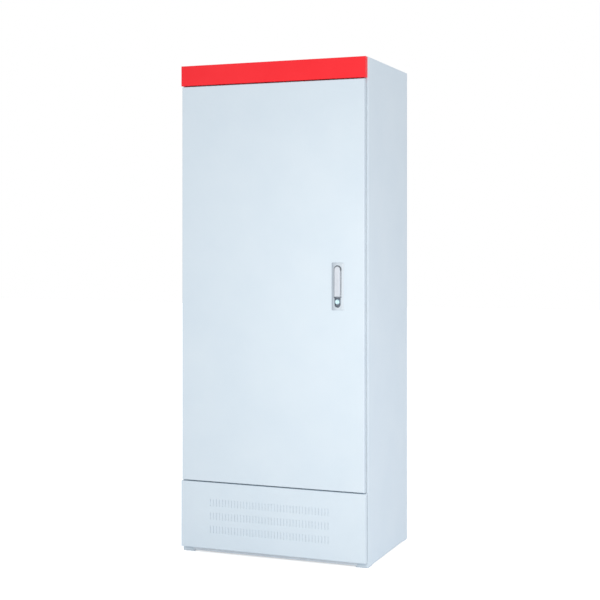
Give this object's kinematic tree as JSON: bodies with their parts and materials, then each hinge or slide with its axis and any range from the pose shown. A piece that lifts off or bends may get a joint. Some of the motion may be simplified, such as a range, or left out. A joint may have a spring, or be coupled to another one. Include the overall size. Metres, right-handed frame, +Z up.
{
  "type": "electrical distribution cabinet",
  "caption": "Floor-standing sheet-steel distribution cabinet, pale blue-grey, with a red header strip, one hinged door with a swing-handle rod lock, and a slotted plinth panel.",
  "frame": {"origin": "on the floor, at the middle of the rectangle of the four anchor holes, which is under the middle of the body", "axes": "+X to the right seen from the front, +Y from the front to the back, +Z up"},
  "size_m": [0.605, 0.4265, 1.5],
  "materials": {
    "pale_blue_paint": "satin powder coat",
    "red_paint": "satin powder coat",
    "zinc_plated_steel": "satin zinc plating",
    "galvanised_plate": "galvanised",
    "foot_steel": "satin",
    "earth_brass": "satin",
    "grey_coated_casting": "fine satin",
    "chrome": "polished",
    "key_plug_brass": "polished",
    "black_foam_rubber": "matte",
    "grey_pocket_plastic": "matte",
    "white_filter_mat": "matte"
  },
  "bodies": {
    "cabinet_shell": {"left_side_panel": "pale_blue_paint", "right_side_panel": "pale_blue_paint", "back_panel": "pale_blue_paint", "back_panel_screws": "zinc_plated_steel", "roof_panel": "pale_blue_paint", "top_rail": "pale_blue_paint", "sill_rail": "pale_blue_paint", "base_tray": "pale_blue_paint", "gland_plate": "zinc_plated_steel", "gland_plate_screws": "zinc_plated_steel", "header_strip": "red_paint", "header_screws": "zinc_plated_steel", "plinth_panel": "pale_blue_paint", "plinth_screws": "zinc_plated_steel", "vent_filter": "white_filter_mat", "mounting_plate": "galvanised_plate", "mounting_plate_screws": "zinc_plated_steel", "earth_bar": "earth_brass", "earth_bar_standoffs": "zinc_plated_steel", "earth_bar_screws": "earth_brass", "cable_rail": "zinc_plated_steel", "hinge_screws": "zinc_plated_steel", "hinge_pins": "zinc_plated_steel", "cross_beam_lower": "zinc_plated_steel", "cross_beam_upper": "zinc_plated_steel", "foot_plate_front_left": "foot_steel", "post_front_left": "zinc_plated_steel", "foot_plate_front_right": "foot_steel", "post_front_right": "zinc_plated_steel", "foot_plate_back_left": "foot_steel", "post_back_left": "zinc_plated_steel", "foot_plate_back_right": "foot_steel", "post_back_right": "zinc_plated_steel", "hinge_bracket_bottom": "zinc_plated_steel", "hinge_bracket_middle": "zinc_plated_steel", "hinge_bracket_top": "zinc_plated_steel"},
    "door_leaf": {"door_panel": "pale_blue_paint", "door_seal": "black_foam_rubber", "document_pocket": "grey_pocket_plastic", "door_earth_stud": "zinc_plated_steel", "lock_bezel": "grey_coated_casting", "lock_clamp": "zinc_plated_steel", "lock_clamp_screws": "zinc_plated_steel", "button_spring": "zinc_plated_steel", "door_stiffener_left": "pale_blue_paint", "door_stiffener_right": "pale_blue_paint", "upper_rod_guide": "zinc_plated_steel", "lower_rod_guide": "zinc_plated_steel", "hinge_leaf_bottom": "zinc_plated_steel", "hinge_leaf_middle": "zinc_plated_steel", "hinge_leaf_top": "zinc_plated_steel"},
    "spindle_set": {"handle_spindle": "zinc_plated_steel", "rod_cam": "zinc_plated_steel", "cam_screw": "zinc_plated_steel"},
    "lever_set": {"handle_lever": "grey_coated_casting", "lever_pin": "zinc_plated_steel"},
    "upper_latch": {"upper_rod": "zinc_plated_steel"},
    "lower_latch": {"lower_rod": "zinc_plated_steel"},
    "push_button": {"lock_button": "chrome"},
    "plug": {"key_plug": "key_plug_brass"}
  },
  "joints": [
    {"name": "door_hinge", "type": "hinge", "parent": "cabinet_shell", "child": "door_leaf", "pos_m": [-0.2895, -0.2095, 0.82925], "axis": [0, 0, -1], "range_deg": [0, 120]},
    {"name": "handle_turn", "type": "hinge", "parent": "door_leaf", "child": "spindle_set", "pos_m": [0.215, -0.2115, 0.876], "axis": [0, 1, 0], "range_deg": [0, 90]},
    {"name": "lever_lift", "type": "hinge", "parent": "spindle_set", "child": "lever_set", "pos_m": [0.215, -0.2235, 0.876], "axis": [-1, 0, 0], "range_deg": [0, 35]},
    {"name": "upper_rod_slide", "type": "slide", "parent": "door_leaf", "child": "upper_latch", "axis": [0, 0, -1], "range_m": [0, 0.02546]},
    {"name": "lower_rod_slide", "type": "slide", "parent": "door_leaf", "child": "lower_latch", "axis": [0, 0, 1], "range_m": [0, 0.02546]},
    {"name": "button_press", "type": "slide", "parent": "door_leaf", "child": "push_button", "axis": [0, 1, 0], "range_m": [0, 0.0025], "stiffness_N_per_m": 600, "springref_m": -0.003, "deforming": ["button_spring"]},
    {"name": "key_turn", "type": "hinge", "parent": "push_button", "child": "plug", "pos_m": [0.215, -0.2215, 0.781], "axis": [0, 1, 0], "range_deg": [0, 90]}
  ],
  "couplings": [
    {"joint": "upper_rod_slide", "follows": "handle_turn", "m_per_rad": 0.016206},
    {"joint": "lower_rod_slide", "follows": "handle_turn", "m_per_rad": 0.016206}
  ]
}
